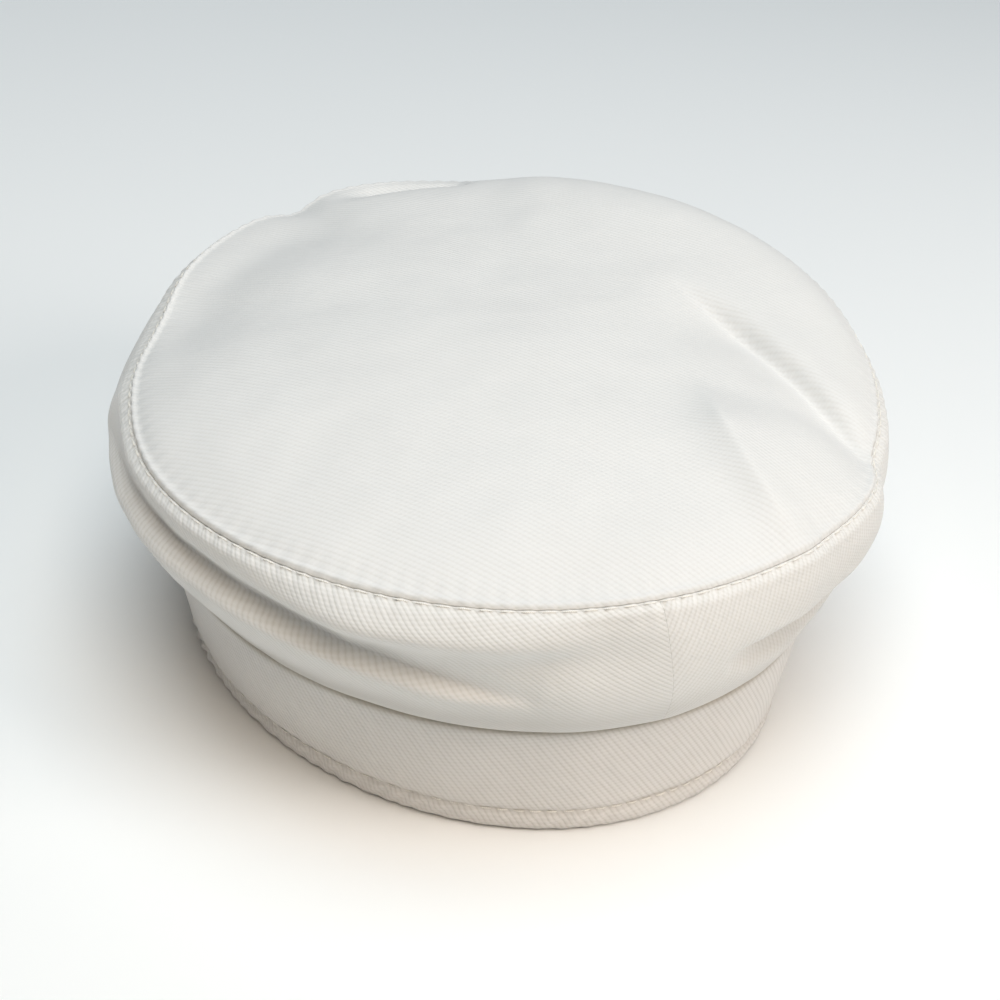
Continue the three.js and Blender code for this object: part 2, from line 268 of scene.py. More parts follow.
# The small unevenness of worn cloth: smooth swings over a size, and how far they go.
Ripple = namedtuple("Ripple", "size amount seed")
TOP_RIPPLES = [Ripple(34, 0.9, 0), Ripple(13, 0.28, 5)]
SIDE_RIPPLES = [Ripple(26, 0.9, 2), Ripple(11, 0.3, 7)]
BAND_RIPPLES = [Ripple(24, 0.6, 3), Ripple(10, 0.22, 8)]
PEAK_RIPPLES = [Ripple(22, 0.5, 4)]
RIPPLE_EDGE = 6  # ripples fade out within this of a seam
PUCKER_WANDER = Ripple(17, 0.8, 0)  # hem puckers wander, in shares of their pitch
PUCKER_UNEVEN = Ripple(23, 0.8, 0)  # and are higher in places
PUCKER_USUAL = 0.7

# ---- Helpers ----


def place(bearing, reach, height):
    a = math.radians(bearing)
    return Vector((reach * math.sin(a), reach * math.cos(a), height))


def turn(start, end):
    """The shortest turn from one bearing to another, from -180 to 180."""
    return (end - start + FULL_TURN / 2) % FULL_TURN - FULL_TURN / 2


def lerp(a, b, share):
    return a + (b - a) * share


def smoothstep(x, low, high):
    t = min(1.0, max(0.0, (x - low) / (high - low)))
    return t * t * (3 - 2 * t)


def bell(distance, breadth):
    return math.exp(-((distance / breadth) ** 2))


def spread_at(spread, distance):
    return spread.most * bell(distance - spread.at, spread.breadth)


def spread_round(spread, bearing):
    return spread.most * bell(turn(spread.at, bearing), spread.breadth)


def swell(t):
    """0 at both ends of a fold and 1 in its middle."""
    return 0.0 if t <= 0 or t >= 1 else math.sin(math.pi * t) ** SIDE_FOLD_ROUNDNESS


def oval_reach(bearing, half_width, half_length):
    a = math.radians(bearing)
    return 1 / math.hypot(math.sin(a) / half_width, math.cos(a) / half_length)


def round_table(rows, column, bearing):
    """A smooth closed curve through a column of a table whose rows are sorted by bearing."""
    n = len(rows)
    at = bearing % FULL_TURN
    i = n - 1
    while i > 0 and rows[i].bearing > at:
        i -= 1

    def bearing_of(j):
        return rows[j % n].bearing + j // n * FULL_TURN

    def value(j):
        return getattr(rows[j % n], column)

    def slope(j):
        return (value(j + 1) - value(j - 1)) / (bearing_of(j + 1) - bearing_of(j - 1))

    span = bearing_of(i + 1) - bearing_of(i)
    t = (at - bearing_of(i)) / span
    return (
        value(i) * (1 + 2 * t) * (1 - t) ** 2
        + value(i + 1) * t * t * (3 - 2 * t)
        + span * t * (1 - t) * (slope(i) * (1 - t) - slope(i + 1) * t)
    )


def bend(start, middle, end, t):
    """The bend through three values."""
    handle = 2 * middle - (start + end) / 2
    return (1 - t) ** 2 * start + 2 * t * (1 - t) * handle + t * t * end


def fold_line(fold):
    """The bend through a fold's three places, as points."""
    return [
        tuple(bend(a, m, b, step / FOLD_STEPS) for a, m, b in zip(fold.start, fold.middle, fold.end))
        for step in range(FOLD_STEPS + 1)
    ]


FOLD_LINES = [(fold, fold_line(fold)) for fold in TOP_FOLDS]


def nearest_on(line, x, y, reach):
    """How far a point is from a line, above 0 on its left, and how far along; None out of reach."""
    xs = [p[0] for p in line]
    ys = [p[1] for p in line]
    if not (min(xs) - reach < x < max(xs) + reach and min(ys) - reach < y < max(ys) + reach):
        return None
    best, place_on = None, 0.0
    for i in range(len(line) - 1):
        ax, ay = line[i]
        dx, dy = line[i + 1][0] - ax, line[i + 1][1] - ay
        t = ((x - ax) * dx + (y - ay) * dy) / (dx * dx + dy * dy)
        t = min(1.0, max(0.0, t))
        gap = math.hypot(x - ax - t * dx, y - ay - t * dy)
        if best is None or gap < abs(best):
            best = math.copysign(gap, dx * (y - ay) - dy * (x - ax))
            place_on = (i + t) / (len(line) - 1)
    return best, place_on


# ---- The cap's lines ----


def front_lift(bearing):
    """How far the front of the band is held off the floor by the peak."""
    off = abs(turn(FRONT, bearing)) / (PEAK_HALF_ANGLE + PEAK_ROOT_RUN)
    return 0.0 if off >= 1 else PEAK_ROOT_LIFT * math.cos(math.pi / 2 * off) ** 2


def band_point(bearing, share):
    hem = oval_reach(bearing, HEM_HALF_WIDTH, HEM_HALF_LENGTH)
    top = oval_reach(bearing, BAND_TOP_HALF_WIDTH, BAND_TOP_HALF_LENGTH)
    reach = lerp(hem, top, share) + BAND_BELLY * math.sin(math.pi * share)
    return place(bearing, reach, front_lift(bearing) + BAND_HEIGHT * share)


class CrownColumn:
    """The crown along one bearing: its seam point and the rise of the top panel to it."""

    def __init__(self, bearing):
        self.bearing = bearing
        self.reach = round_table(CROWN_SEAM, "reach", bearing)
        self.height = round_table(CROWN_SEAM, "height", bearing)
        self.puff = round_table(CROWN_SEAM, "puff", bearing)
        self.dent_reach = self.dent_lift = 0.0
        for dent in SEAM_DENTS:
            share = bell(turn(dent.bearing, bearing), dent.spread)
            self.dent_reach += dent.reach * share
            self.dent_lift += dent.lift * share

    def top(self, share):
        near_seam = share ** DENT_EDGE
        reach = self.reach * share + self.dent_reach * near_seam
        puff = self.puff * share ** 3 * (1 - share ** PUFF_EDGE)
        dome = lerp(CROWN_CENTRE_HEIGHT, self.height, share ** 2)
        point = place(self.bearing, reach, dome + puff + self.dent_lift * near_seam)
        for fold, line in FOLD_LINES:
            found = nearest_on(line, point.x, point.y, FOLD_REACH * max(fold.left, fold.right))
            if found is None:
                continue
            away, along = found
            fade = smoothstep(along, 0, FOLD_FADE_IN) * (1 - share ** FOLD_EDGE)
            breadth = fold.left if away > 0 else fold.right
            section = math.exp(-((abs(away) / breadth) ** fold.roundness))
            point.z -= fold.depth * section * fade
        return point


def side_point(bearing, share):
    foot = band_point(bearing, 1)
    seam = CrownColumn(bearing).top(1)
    lean = math.log(0.5) / math.log(round_table(SIDE_FULLNESS, "peak_share", bearing))
    section = math.sin(math.pi * min(1, max(0, share)) ** lean) ** SIDE_ROUNDNESS
    out = round_table(SIDE_FULLNESS, "out", bearing) * section
    for fold in SIDE_FOLDS:
        along = min(1, max(0, turn(fold.start, bearing) / turn(fold.start, fold.end)))
        off = share - bend(fold.start_share, fold.middle_share, fold.end_share, along)
        near = bell(off, fold.above if off > 0 else fold.below)
        out -= fold.depth * near * swell(along) * smoothstep(1 - share, 0, SIDE_FOLD_EDGE)
    reach = lerp(math.hypot(foot.x, foot.y), math.hypot(seam.x, seam.y), share) + out
    return place(bearing, reach, lerp(foot.z + SEAM_GAP, seam.z, share))


def peak_point(across, share, out=0.0, up=0.0):
    """A point on the peak's underside: across from -1 to 1, and from the band, 0, to the rim, 1."""
    bearing = FRONT + PEAK_HALF_ANGLE * across
    outline = math.cos(math.pi / 2 * min(1, abs(across))) ** PEAK_CORNER_RUN
    length = max(PEAK_LEAST_LENGTH, PEAK_LENGTH * outline)
    root = band_point(bearing, PEAK_THICKNESS / BAND_HEIGHT)
    bow = min(1, abs(across) / PEAK_RIM_BOW)
    rim_height = PEAK_RIM_LIFT * math.cos(math.pi / 2 * bow) ** 2
    height = lerp(front_lift(bearing), rim_height, share ** PEAK_FALL)
    reach = math.hypot(root.x, root.y) + SEAM_GAP + length * share + out
    return place(bearing, reach, height + up)


# ---- Laying cloth ----


FIRST_STEP = 0.12
STEP_GROWTH = 1.3
WIDEST_STEP = 1.7
LAST_STEP = 1.4  # the last step may be this many times the one before it


def cloth_steps(length, first=FIRST_STEP, growth=STEP_GROWTH, widest=WIDEST_STEP):
    """Distances from a seam: close together at the seam, wider away from it."""
    steps, gap = [0.0], first
    while steps[-1] + LAST_STEP * gap < length:
        steps.append(steps[-1] + gap)
        gap = min(widest, gap * growth)
    return steps + [length]


def seam_to_seam(length, widest=WIDEST_STEP):
    """Distances from one seam to another, close together at both."""
    half = cloth_steps(length / 2, widest=widest)
    return half + [length - d for d in reversed(half[:-1])]


def rolled_in(distance, roll):
    """How far the cloth has turned in; a distance below 0 is on the turned-in edge."""
    if distance >= roll.width:
        return 0.0
    if distance <= 0:
        return roll.depth - distance
    rest = 1 - distance / roll.width
    return roll.depth * (1 - math.sqrt(1 - rest * rest))


FACING_STEP = 0.02
SHORTEST_NORMAL = 1e-9


def facing(point, bearing, share):
    """The outward direction of a panel whose point(bearing, share) runs up the cloth."""
    rise = point(bearing, share + FACING_STEP) - point(bearing, share - FACING_STEP)
    across = point(bearing + 1, share) - point(bearing - 1, share)
    return rise.cross(across).normalized()


def grid_normals(grid, closed):
    """The outward direction at each point of a grid whose rows run up the cloth."""
    rows, columns = len(grid), len(grid[0])
    normals = []
    for r in range(rows):
        line = []
        for c in range(columns):
            rise = grid[min(r + 1, rows - 1)][c] - grid[max(r - 1, 0)][c]
            if closed:
                after, before = (c + 1) % (columns - 1), (c - 1) % (columns - 1)
            else:
                after, before = min(c + 1, columns - 1), max(c - 1, 0)
            across = grid[r][after] - grid[r][before]
            normal = rise.cross(across)
            line.append(normal.normalized() if normal.length > SHORTEST_NORMAL else UP.copy())
        normals.append(line)
    return normals


def pull(phase):
    """1 where a stitch goes into the cloth and 0 half way along it."""
    return 0.5 + 0.5 * math.cos(2 * math.pi * phase)


def rippled(point, ripples):
    return sum(
        r.amount * noise.noise(point / r.size + Vector((r.seed, 2 * r.seed, 3 * r.seed)))
        for r in ripples
    )


MERGE_DISTANCE = 0.01


def lay_cloth(name, points, cuts, painted_shades, thickness=0.0):
    """Makes a cloth piece from rows of points. Cuts are places on the flat cloth, in mm."""
    rows, columns = len(points), len(points[0])
    bpy.ops.object.select_all(action="DESELECT")
    bpy.ops.mesh.primitive_grid_add(x_subdivisions=columns - 1, y_subdivisions=rows - 1, size=1)
    piece = bpy.context.object
    piece.name = name
    mesh = piece.data
    spots = []
    for vertex in mesh.vertices:
        column = round((0.5 - vertex.co.x) * (columns - 1))
        row = round((0.5 + vertex.co.y) * (rows - 1))
        spots.append((row, column))
    # the 'seam' attribute holds each point's share of painted shade, mixed towards the painted shade
    # colour
    painted_shade_attribute = mesh.attributes.new("seam", "FLOAT", "POINT")
    for vertex, (row, column) in zip(mesh.vertices, spots):
        vertex.co = HEAD + MM * points[row][column]
        painted_shade_attribute.data[vertex.index].value = painted_shades[row][column]
    flat = mesh.uv_layers.active
    flat.name = "cut"
    for loop in mesh.loops:
        row, column = spots[loop.vertex_index]
        flat.data[loop.index].uv = cuts[row][column]
    bpy.ops.object.mode_set(mode="EDIT")
    bpy.ops.mesh.select_all(action="SELECT")
    bpy.ops.mesh.remove_doubles(threshold=MERGE_DISTANCE * MM)
    bpy.ops.object.mode_set(mode="OBJECT")
    if thickness:
        wall = piece.modifiers.new("wall", "SOLIDIFY")
        wall.thickness = thickness * MM
        wall.offset = -1  # all of the thickness goes inwards
        bpy.ops.object.modifier_apply(modifier=wall.name)
    bpy.ops.object.shade_smooth()
    return piece


def along_rib(x, y, rib_angle):
    """A place on the flat cloth, turned so that the twill's ribs run along the second number."""
    a = math.radians(rib_angle)
    return (x * math.sin(a) - y * math.cos(a), x * math.cos(a) + y * math.sin(a))


def crown_top(bearing, from_seam):
    return CrownColumn(bearing).top(1 - from_seam)


CROWN_SEAM_SIDE = 0.04  # the cloth's direction beside a seam is taken this share away from it
BAND_SEAM_SIDE = 0.06


def crown_seam_inward(bearing):
    """The way into the seam between top panel and side panels."""
    outward = facing(crown_top, bearing, CROWN_SEAM_SIDE)
    outward += facing(side_point, bearing, 1 - CROWN_SEAM_SIDE)
    return -outward.normalized()


def band_seam_inward(bearing):
    """The way into the seam between side panels and band."""
    outward = facing(side_point, bearing, BAND_SEAM_SIDE)
    outward += facing(band_point, bearing, 1 - BAND_SEAM_SIDE)
    return -outward.normalized()


def crown_seam_shade_shows(bearing):
    """How much of the crown seam's painted shade shows: less where the seam is pressed flat."""
    return 1 - spread_round(SEAM_PRESSED, bearing)


TOP_COLUMNS = 560
TOP_RADIUS = 110  # about the crown seam's distance from the axis
TOP_RIB_ANGLE = 129  # from +X, in plan


def top_panel():
    bearings = [CROWN_TWIST + FULL_TURN * i / TOP_COLUMNS for i in range(TOP_COLUMNS + 1)]
    columns = [CrownColumn(b) for b in bearings]
    steps = cloth_steps(TOP_RADIUS)
    slit = SEAM_SLIT / TOP_RADIUS
    smooth = [[c.top((1 - slit) * (1 - d / TOP_RADIUS)) for c in columns] for d in steps]
    normals = grid_normals(smooth, closed=True)
    inward = [crown_seam_inward(b) for b in bearings]
    points, cuts, painted_shades = [], [], []
    for d in list(ALLOWANCE) + steps:
        row = steps.index(d) if d >= 0 else 0
        line, cut_line, painted_shade_line = [], [], []
        for i, bearing in enumerate(bearings):
            base = smooth[row][i]
            grip = pull(bearing * CROWN_STITCHES / FULL_TURN)
            lift = spread_at(TOP_WELT, d) * (1 + spread_round(WELT_RISE, bearing))
            lift -= spread_at(TOP_BITE, d) * grip
            lift += spread_at(TOP_PUCKER, d) * (0.5 - grip)
            lift += smoothstep(d, 0, RIPPLE_EDGE) * rippled(base, TOP_RIPPLES)
            point = base + lift * normals[row][i] + rolled_in(d, CROWN_ROLL) * inward[i]
            line.append(point)
            cut_line.append(along_rib(base.x, base.y, TOP_RIB_ANGLE))
            # painted shade in the crown seam, less between the stitches
            painted_shade = spread_at(TOP_SEAM_PAINTED_SHADE, max(0, d)) * lerp(TOP_PAINTED_SHADE_BETWEEN, 1, grip)
            painted_shade_line.append(painted_shade * crown_seam_shade_shows(bearing))
        points.append(line)
        cuts.append(cut_line)
        painted_shades.append(painted_shade_line)
    return lay_cloth("crown_top", points, cuts, painted_shades, CLOTH)


SIDE_LENGTH = 60  # of the cloth from the band to the crown seam
SIDE_ARC_PER_DEGREE = 1.85  # of its length round the cap
SIDE_WIDEST_STEP = 1.1
LEFT_RIB_ANGLE = -76
RIGHT_RIB_ANGLE = 93
CUT_INNER_RADIUS = 290  # a side panel is cut as part of a flat ring
CUT_OPENING = 1.0  # the ring part's opening, in radians


def side_panel(name, start, end, rib_angle):
    arc = (end - start) * SIDE_ARC_PER_DEGREE
    rounds = seam_to_seam(arc)
    ups = seam_to_seam(SIDE_LENGTH, widest=SIDE_WIDEST_STEP)
    slit = SEAM_SLIT / SIDE_LENGTH
    bearings = [
        start + (end - start) * (SEAM_SLIT + (arc - 2 * SEAM_SLIT) * c / arc) / arc for c in rounds
    ]
    shares = [slit + (1 - 2 * slit) * u / SIDE_LENGTH for u in ups]
    smooth = [[side_point(b + CROWN_TWIST * s, s) for b in bearings] for s in shares]
    normals = grid_normals(smooth, closed=False)
    crown_inward = [crown_seam_inward(b + CROWN_TWIST) for b in bearings]
    band_inward = [band_seam_inward(b) for b in bearings]
    # Rows and columns of the smooth grid, with the turned-in edges before and after them.
    before = list(ALLOWANCE)
    after = list(reversed(ALLOWANCE))
    column_places = [(0, d) for d in before]
    column_places += [(i, min(c, arc - c)) for i, c in enumerate(rounds)]
    column_places += [(len(rounds) - 1, d) for d in after]
    row_places = [(0, d, SIDE_LENGTH) for d in before]
    row_places += [(i, u, SIDE_LENGTH - u) for i, u in enumerate(ups)]
    row_places += [(len(ups) - 1, SIDE_LENGTH, d) for d in after]
    points, cuts, painted_shades = [], [], []
    for row, from_band, from_crown in row_places:
        line, cut_line, painted_shade_line = [], [], []
        for column, from_end in column_places:
            base, normal = smooth[row][column], normals[row][column]
            crown_bearing = bearings[column] + CROWN_TWIST
            grip = pull(crown_bearing * CROWN_STITCHES / FULL_TURN)
            lift = spread_at(SIDE_CROWN_EDGE, from_crown)
            lift -= spread_at(SIDE_BITE, from_crown) * grip
            lift += spread_at(SIDE_PUCKER, from_crown) * (0.5 - grip)
            lift += spread_at(SIDE_BAND_EDGE, from_band)
            fade = smoothstep(from_crown, 0, RIPPLE_EDGE) * smoothstep(from_band, 0, RIPPLE_EDGE)
            lift += fade * rippled(base, SIDE_RIPPLES)
            point = base + lift * normal
            point += rolled_in(from_crown, CROWN_ROLL) * crown_inward[column]
            point += rolled_in(from_band, BAND_ROLL) * band_inward[column]
            point -= rolled_in(from_end, PLAIN_ROLL) * normal
            line.append(point)
            around = CUT_OPENING * ((bearings[column] - start) / (end - start) - 0.5)
            radius = CUT_INNER_RADIUS + SIDE_LENGTH * shares[row]
            cut_line.append(along_rib(
                -radius * math.sin(around), radius * math.cos(around), rib_angle))
            # Painted shade: in the crown seam, in the band seam, and low on the panel above the band
            # seam.
            crown_painted_shade = spread_at(SIDE_CROWN_PAINTED_SHADE, max(0, from_crown))
            crown_painted_shade *= lerp(SIDE_PAINTED_SHADE_BETWEEN, 1, grip) * crown_seam_shade_shows(crown_bearing)
            band_painted_shade = spread_at(SIDE_BAND_PAINTED_SHADE, max(0, from_band))
            low_painted_shade = LOW_PAINTED_SHADE_ELSEWHERE + spread_round(LOW_PAINTED_SHADE_ROUND, bearings[column])
            painted_shade_line.append(max(crown_painted_shade, band_painted_shade, low_painted_shade * spread_at(SIDE_LOW_PAINTED_SHADE, from_band)))
        points.append(line)
        cuts.append(cut_line)
        painted_shades.append(painted_shade_line)
    return lay_cloth(name, points, cuts, painted_shades, CLOTH)


BAND_COLUMNS = 520
BAND_WIDEST_STEP = 0.9
BAND_RIB_ANGLE = -55
HEM_TURNS = 8
INNER_ROWS = 9
BAND_RIPPLES_ABOVE = (2, 9)  # the heights over which the band's ripples grow, above the hem
BAND_RIPPLES_EDGE = 5


def band_profile():
    """Round the band's wall: height, depth into the wall, and whether it is the outside."""
    edge = BAND_CLOTH / 2
    profile = [
        (lerp(BAND_HEIGHT, edge, i / INNER_ROWS), BAND_CLOTH, False) for i in range(INNER_ROWS + 1)
    ]
    for i in range(1, HEM_TURNS):
        a = math.pi * i / HEM_TURNS
        profile.append((edge - edge * math.sin(a), edge + edge * math.cos(a), False))
    from_seam = cloth_steps(BAND_HEIGHT - edge, widest=BAND_WIDEST_STEP)
    profile += [(BAND_HEIGHT - d, 0.0, True) for d in reversed(from_seam)]
    return profile


def hem_strip_lift(base, bearing, height, sunk, grip):
    """The strip below the row of stitches stands out, with slanting puckers."""
    strip = math.sin(math.pi * min(1, height / HEM_STITCH_HEIGHT))
    slant = bearing / HEM_PUCKER_PITCH + height / HEM_PUCKER_LEAN + rippled(base, [PUCKER_WANDER])
    uneven = PUCKER_USUAL + rippled(base, [PUCKER_UNEVEN])
    lift = HEM_ROLL_HEIGHT * strip
    lift -= HEM_GROOVE.most * sunk * lerp(HEM_GROOVE_BETWEEN, 1, grip)
    return lift + spread_at(HEM_PUCKER, height) * uneven * math.sin(2 * math.pi * slant)


def band():
    bearings = [FRONT + FULL_TURN * i / BAND_COLUMNS for i in range(BAND_COLUMNS + 1)]
    profile = band_profile()

    def smooth_point(bearing, height, depth):
        point = band_point(bearing, max(0, height) / BAND_HEIGHT)
        return point - place(bearing, depth, 0)

    smooth = [[smooth_point(b, h, d) for b in bearings] for h, d, _ in profile]
    normals = grid_normals(smooth, closed=True)
    inward = [band_seam_inward(b) for b in bearings]
    hem_length = math.pi * (HEM_HALF_WIDTH + HEM_HALF_LENGTH)
    points, cuts, painted_shades = [], [], []
    for row, (height, depth, outside) in enumerate(profile):
        line, cut_line, painted_shade_line = [], [], []
        from_seam = BAND_HEIGHT - height
        fade = smoothstep(from_seam, 0, BAND_RIPPLES_EDGE) * smoothstep(height, *BAND_RIPPLES_ABOVE)
        for i, bearing in enumerate(bearings):
            base, normal = smooth[row][i], normals[row][i]
            point = base.copy()
            grip = pull(bearing * HEM_STITCHES / FULL_TURN)
            sunk = bell(height - HEM_GROOVE.at, HEM_GROOVE.breadth)
            if outside:
                lift = hem_strip_lift(base, bearing, height, sunk, grip)
                lift += spread_at(BAND_EDGE, height)
                lift += fade * rippled(base, BAND_RIPPLES)
                point += lift * normal + rolled_in(from_seam, STRIP_ROLL) * inward[i]
                # painted shade under the side panels at the band's upper edge, and in the hem
                # stitches' groove
                painted_shade = max(spread_at(BAND_SEAM_PAINTED_SHADE, from_seam), HEM_GROOVE_PAINTED_SHADE * sunk)
            else:
                point -= spread_at(HEM_GROOVE_INSIDE, height) * normal
                painted_shade = spread_at(BAND_SEAM_PAINTED_SHADE, BAND_HEIGHT)
            line.append(point)
            around = hem_length * bearing / FULL_TURN
            run = from_seam + (0 if outside else 2 * BAND_HEIGHT)
            cut_line.append(along_rib(-around, -run, BAND_RIB_ANGLE))
            painted_shade_line.append(painted_shade)
        points.append(line)
        cuts.append(cut_line)
        painted_shades.append(painted_shade_line)
    points.append([p.copy() for p in points[0]])
    cuts.append(list(cuts[-1]))
    painted_shades.append(list(painted_shades[0]))
    return lay_cloth("head_band", points, cuts, painted_shades)


PEAK_COLUMNS = 150
PEAK_RIM_TURNS = 8
PEAK_RIB_ANGLE = 60
PEAK_FIRST_STEP = 0.012  # steps from its rim, as shares of its length
PEAK_STEP_GROWTH = 1.2
PEAK_WIDEST_STEP = 0.024
PEAK_TAPER = 0.04  # the share of its half width over which it thins out at its ends
PEAK_RIPPLES_EDGE = 0.1
PEAK_LINE_STEPS = 120
PEAK_LINE_REACH = 0.004  # how far on either side its direction is taken
PEAK_LINE_WALL = 0.1  # the share of the band's height where the stitch line meets its wall
UNDER_CUT_AWAY = 200  # the underside is cut from another place on the cloth
UNDERSIDE, RIM, TOPSIDE = range(3)


def peak_stitch_line():
    """The row of stitches inside the peak's rim, in plan."""
    inset = []
    for i in range(1, PEAK_LINE_STEPS):
        across = lerp(-1, 1, i / PEAK_LINE_STEPS)
        here = peak_point(across, 1)
        ahead = peak_point(across + PEAK_LINE_REACH, 1) - peak_point(across - PEAK_LINE_REACH, 1)
        sideways = Vector((ahead.y, -ahead.x, 0)).normalized()
        if sideways.dot(here) > 0:
            sideways = -sideways
        spot = here + PEAK_STITCH_INSET * sideways
        bearing = math.degrees(math.atan2(spot.x, spot.y))
        wall = band_point(bearing, PEAK_LINE_WALL)
        if math.hypot(spot.x, spot.y) > math.hypot(wall.x, wall.y) + 1:
            inset.append((spot.x, spot.y))
    return inset


def peak():
    stitched = peak_stitch_line()
    acrosses = [
        math.sin(math.pi / 2 * lerp(-1, 1, i / PEAK_COLUMNS)) for i in range(PEAK_COLUMNS + 1)
    ]
    shares = [1 - d for d in cloth_steps(
        1.0, first=PEAK_FIRST_STEP, growth=PEAK_STEP_GROWTH, widest=PEAK_WIDEST_STEP)]
    profile = [(s, UNDERSIDE, 0.0) for s in reversed(shares)]
    profile += [(1, RIM, math.pi * i / PEAK_RIM_TURNS) for i in range(1, PEAK_RIM_TURNS)]
    profile += [(s, TOPSIDE, math.pi) for s in shares]
    points, cuts, painted_shades = [], [], []
    for share, part, angle in profile:
        line, cut_line, painted_shade_line = [], [], []
        for across in acrosses:
            from_end = 1 - abs(across)
            edge = PEAK_THICKNESS * min(1, from_end / PEAK_TAPER) ** 0.5 / 2
            out = -edge + edge * math.sin(angle)
            up = edge - edge * math.cos(angle)
            point = peak_point(across, share, out * share, up)
            sunk = 0.0
            if part == TOPSIDE:
                found = nearest_on(stitched, point.x, point.y, PEAK_GROOVE_REACH)
                if found:
                    sunk = bell(found[0], PEAK_GROOVE.breadth)
                point.z -= PEAK_GROOVE.most * sunk
                point.z += rippled(point, PEAK_RIPPLES) * smoothstep(from_end, 0, PEAK_RIPPLES_EDGE)
                point.z -= spread_at(PEAK_ROOT_EDGE, share * PEAK_LENGTH)
            line.append(point)
            away = UNDER_CUT_AWAY if part == UNDERSIDE else 0
            cut_line.append(along_rib(point.x, point.y + away, PEAK_RIB_ANGLE))
            # painted shade in the stitch groove
            painted_shade_line.append(PEAK_GROOVE_PAINTED_SHADE * sunk)
        points.append(line)
        cuts.append(cut_line)
        painted_shades.append(painted_shade_line)
    points.append([p.copy() for p in points[0]])
    cuts.append(list(cuts[-1]))
    painted_shades.append(list(painted_shades[-1]))
    for rows in (points, cuts, painted_shades):
        for row in rows:
            row.reverse()
    return lay_cloth("front_peak", points, cuts, painted_shades), stitched


# ---- Stitches ----


def make_stitch(length):
    """One stitch of sewing thread: a grain that is thickest and highest at its middle."""
    bpy.ops.object.select_all(action="DESELECT")
    bpy.ops.mesh.primitive_uv_sphere_add(segments=8, ring_count=6, radius=0.5)
    stitch = bpy.context.object
    for vertex in stitch.data.vertices:
        along = 2 * vertex.co.z
        vertex.co = Vector((
            vertex.co.z * length,
            vertex.co.x * THREAD,
            vertex.co.y * THREAD + THREAD_ARCH * (1 - along * along),
        )) * MM
    bpy.ops.object.shade_smooth()
    return stitch


def sew(name, spots, length):
    """Copies one stitch along a seam. Each spot is a point, the way along and the way out."""
    first = make_stitch(length)
    copies = []
    for point, along, out in spots:
        along = along.normalized()
        side = out.cross(along).normalized()
        out = along.cross(side)
        copy = first.copy()
        copy.data = first.data.copy()
        copy.matrix_world = Matrix.Translation(HEAD + MM * point) @ Matrix(
            (along, side, out)).transposed().to_4x4()
        bpy.context.collection.objects.link(copy)
        copies.append(copy)
    bpy.data.objects.remove(first)
    bpy.ops.object.select_all(action="DESELECT")
    for copy in copies:
        copy.select_set(True)
    bpy.context.view_layer.objects.active = copies[0]
    bpy.ops.object.join()
    row = bpy.context.object
    row.name = name
    bpy.ops.object.transform_apply(location=True, rotation=True, scale=True)
    return row


JUST_BELOW = 0.985  # a share of the side panel's height, just below the crown seam


def crown_stitches():
    spots = []
    for i in range(CROWN_STITCHES):
        bearing = (i + 0.5) * FULL_TURN / CROWN_STITCHES
        inward = crown_seam_inward(bearing)
        seam = CrownColumn(bearing).top(1)
        ahead = CrownColumn(bearing + 0.5).top(1) - CrownColumn(bearing - 0.5).top(1)
        down = (side_point(bearing, JUST_BELOW) - side_point(bearing, 1)).normalized()
        spot = seam + CROWN_STITCH_DROP * down + CROWN_STITCH_SINK * inward
        spots.append((spot, ahead, -inward))
    return sew("crown_stitches", spots, CROWN_STITCH_LENGTH)


def hem_stitches():
    spots = []
    share = HEM_STITCH_HEIGHT / BAND_HEIGHT
    for i in range(HEM_STITCHES):
        bearing = (i + 0.5) * FULL_TURN / HEM_STITCHES
        out = facing(band_point, bearing, share)
        ahead = band_point(bearing + 0.5, share) - band_point(bearing - 0.5, share)
        spots.append((band_point(bearing, share) - HEM_STITCH_SINK * out, ahead, out))
    return sew("hem_stitches", spots, HEM_STITCH_LENGTH)


def peak_stitches(stitched):
    """Stitches evenly spaced along the line that the peak's groove follows."""
    line = [Vector((x, y, 0)) for x, y in stitched]
    spots, travelled, wanted = [], 0.0, PEAK_STITCH_PITCH / 2
    for a, b in zip(line, line[1:]):
        gap = (b - a).length
        while travelled + gap > wanted:
            spot = a.lerp(b, (wanted - travelled) / gap)
            bearing = math.degrees(math.atan2(spot.x, spot.y)) % FULL_TURN
            across = (bearing - FRONT) / PEAK_HALF_ANGLE
            root, rim = peak_point(across, 0), peak_point(across, 1)
            start = math.hypot(root.x, root.y)
            share = (math.hypot(spot.x, spot.y) - start) / (math.hypot(rim.x, rim.y) - start)
            top = peak_point(across, share, 0, PEAK_THICKNESS)
            spots.append((Vector((spot.x, spot.y, top.z - PEAK_STITCH_SINK)), b - a, UP))
            wanted += PEAK_STITCH_PITCH
        travelled += gap
    return sew("peak_stitches", spots, PEAK_STITCH_LENGTH)


# ---- Materials ----


def linear(colour):
    """Turns an sRGB hex colour to the linear values that shaders take."""
    values = [int(colour[i:i + 2], 16) / 255 for i in (1, 3, 5)]
    return [v / 12.92 if v <= 0.04045 else ((v + 0.055) / 1.055) ** 2.4 for v in values] + [1]


def node(tree, kind, inputs=None, **settings):
    """Adds a node, makes its settings, and fills its inputs with values or other nodes' outputs."""
    made = tree.nodes.new(kind)
    for name, value in settings.items():
        setattr(made, name, value)
    for name, value in (inputs or {}).items():
        if isinstance(value, bpy.types.NodeSocket):
            tree.links.new(value, made.inputs[name])
        else:
            made.inputs[name].default_value = value
    return made


# A Math node's inputs share one name, and a Mix node has sockets for every kind of value, so
# both are told apart by number.
VALUE, TIMES, PLUS = 0, 1, 2
MIX_SHARE, MIX_FROM, MIX_TO, MIX_COLOUR = 0, 6, 7, 2

